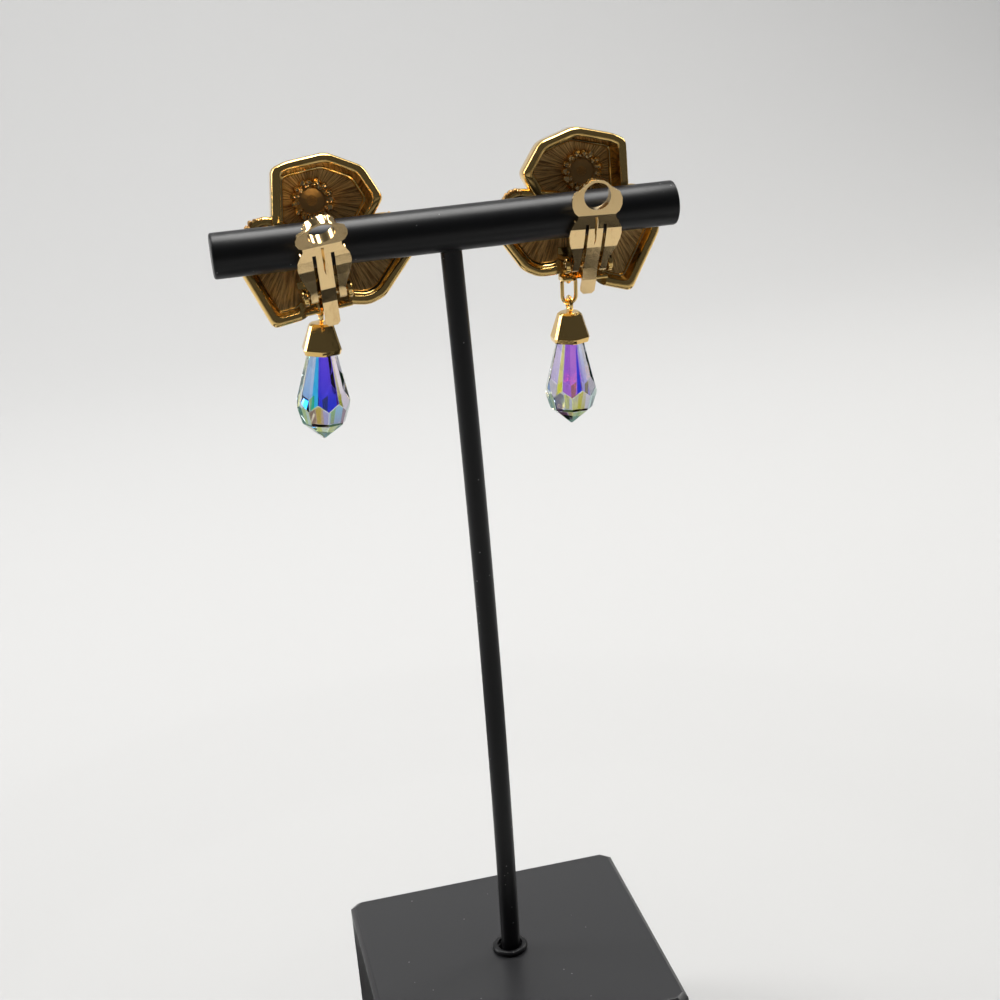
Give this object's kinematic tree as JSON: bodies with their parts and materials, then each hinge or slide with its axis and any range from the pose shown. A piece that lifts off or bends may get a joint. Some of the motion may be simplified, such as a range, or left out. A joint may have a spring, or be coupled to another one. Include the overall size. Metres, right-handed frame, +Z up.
{
  "type": "pair of clip-on drop earrings on a T-bar display stand",
  "caption": "Clip-on drop earrings with hollow-backed petal castings, hinged paddle clips and faceted teardrop crystals, clipped on a plain black T-bar stand with a block base.",
  "frame": {"origin": "middle of the base's underside", "axes": "+X along the bar towards the right earring, +Y towards the earrings' fronts, +Z up; the clips are on the -Y side"},
  "size_m": [0.0664, 0.044, 0.1602],
  "materials": {
    "cast_gold": "gold plate, polished on the rims and caps and brushed on the petals' floors",
    "clip_gold": "pale gold plate, polished",
    "crystal": "clear cut crystal with a thin rainbow coat",
    "black_rod": "gloss black",
    "base_block": "dark grey, satin"
  },
  "bodies": {
    "display": {"stand_base": "base_block", "stand_post_and_bar": "black_rod", "post_collar": "black_rod", "left_flower_casting": "cast_gold", "left_hinge_pin": "clip_gold", "right_flower_casting": "cast_gold", "right_hinge_pin": "clip_gold"},
    "left_clip": {"left_clip_paddle": "clip_gold"},
    "left_drop": {"left_drop_link": "cast_gold", "left_drop_cap": "cast_gold", "left_crystal_drop": "crystal"},
    "right_clip": {"right_clip_paddle": "clip_gold"},
    "right_drop": {"right_drop_link": "cast_gold", "right_drop_cap": "cast_gold", "right_crystal_drop": "crystal"}
  },
  "joints": [
    {"name": "left_clip_hinge", "type": "hinge", "parent": "display", "child": "left_clip", "pos_m": [-0.01802, 0, 0.14182], "axis": [0.9937, 0.0442, 0.1029], "range_deg": [0, 27]},
    {"name": "right_clip_hinge", "type": "hinge", "parent": "display", "child": "right_clip", "pos_m": [0.02023, 0.00114, 0.1412], "axis": [0.999, -0.0292, -0.0348], "range_deg": [0, 34]},
    {"name": "left_drop_swing", "type": "hinge", "parent": "display", "child": "left_drop", "pos_m": [-0.01832, 0.00697, 0.14018], "axis": [0.9966, 0, -0.0819], "range_deg": [-12, 30]},
    {"name": "right_drop_swing", "type": "hinge", "parent": "display", "child": "right_drop", "pos_m": [0.01911, 0.00806, 0.13818], "axis": [0.9993, 0, -0.0384], "range_deg": [-30, 30]}
  ]
}
